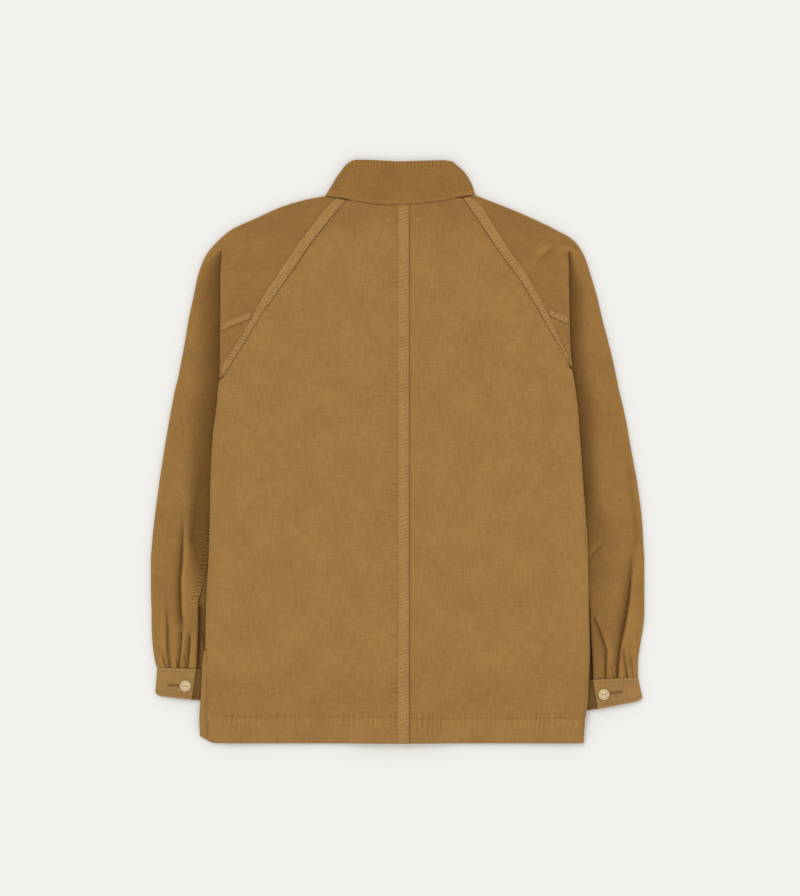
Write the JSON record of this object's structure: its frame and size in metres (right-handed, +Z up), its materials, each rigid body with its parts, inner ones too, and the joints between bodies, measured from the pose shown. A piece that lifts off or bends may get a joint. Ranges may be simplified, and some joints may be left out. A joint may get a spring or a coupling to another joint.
{
  "type": "corduroy jacket laid flat with its back up",
  "caption": "Stand-collar corduroy jacket with raglan sleeves and buttoned cuffs, laid flat with its back up and its sleeves folded in beside the body.",
  "frame": {"origin": "under the middle of the laid-out jacket, on the surface it lies on", "axes": "+X towards the wearer's right sleeve, +Y from the hem to the collar, +Z up out of the surface, through the back of the jacket"},
  "size_m": [0.6918, 0.8179, 0.0136],
  "materials": {
    "body_cloth": "fine-wale cotton corduroy, tan, matt with a soft sheen",
    "sleeve_cloth": "fine-wale cotton corduroy, tan, matt with a soft sheen",
    "collar_cloth": "fine-wale cotton corduroy, tan, matt, a little darker",
    "seam_cloth": "corduroy on the felled seams, rubbed lighter",
    "button": "pale horn-coloured, satin"
  },
  "bodies": {
    "root": {"left_back": "body_cloth", "right_back": "body_cloth", "left_front": "body_cloth", "right_front": "body_cloth", "left_top_sleeve": "sleeve_cloth", "left_under_sleeve_head": "sleeve_cloth", "left_under_sleeve": "sleeve_cloth", "right_top_sleeve": "sleeve_cloth", "right_under_sleeve_head": "sleeve_cloth", "right_under_sleeve": "sleeve_cloth", "centre_back_seam": "seam_cloth", "left_raglan_seam": "seam_cloth", "right_raglan_seam": "seam_cloth", "left_elbow_seam": "seam_cloth", "right_elbow_seam": "seam_cloth", "left_cuff": "body_cloth", "right_cuff": "body_cloth", "collar": "collar_cloth", "left_cuff_button": "button", "right_cuff_button": "button", "front_button_1": "button", "front_button_2": "button", "front_button_3": "button", "front_button_4": "button", "front_button_5": "button", "front_button_6": "button"}
  },
  "joints": []
}
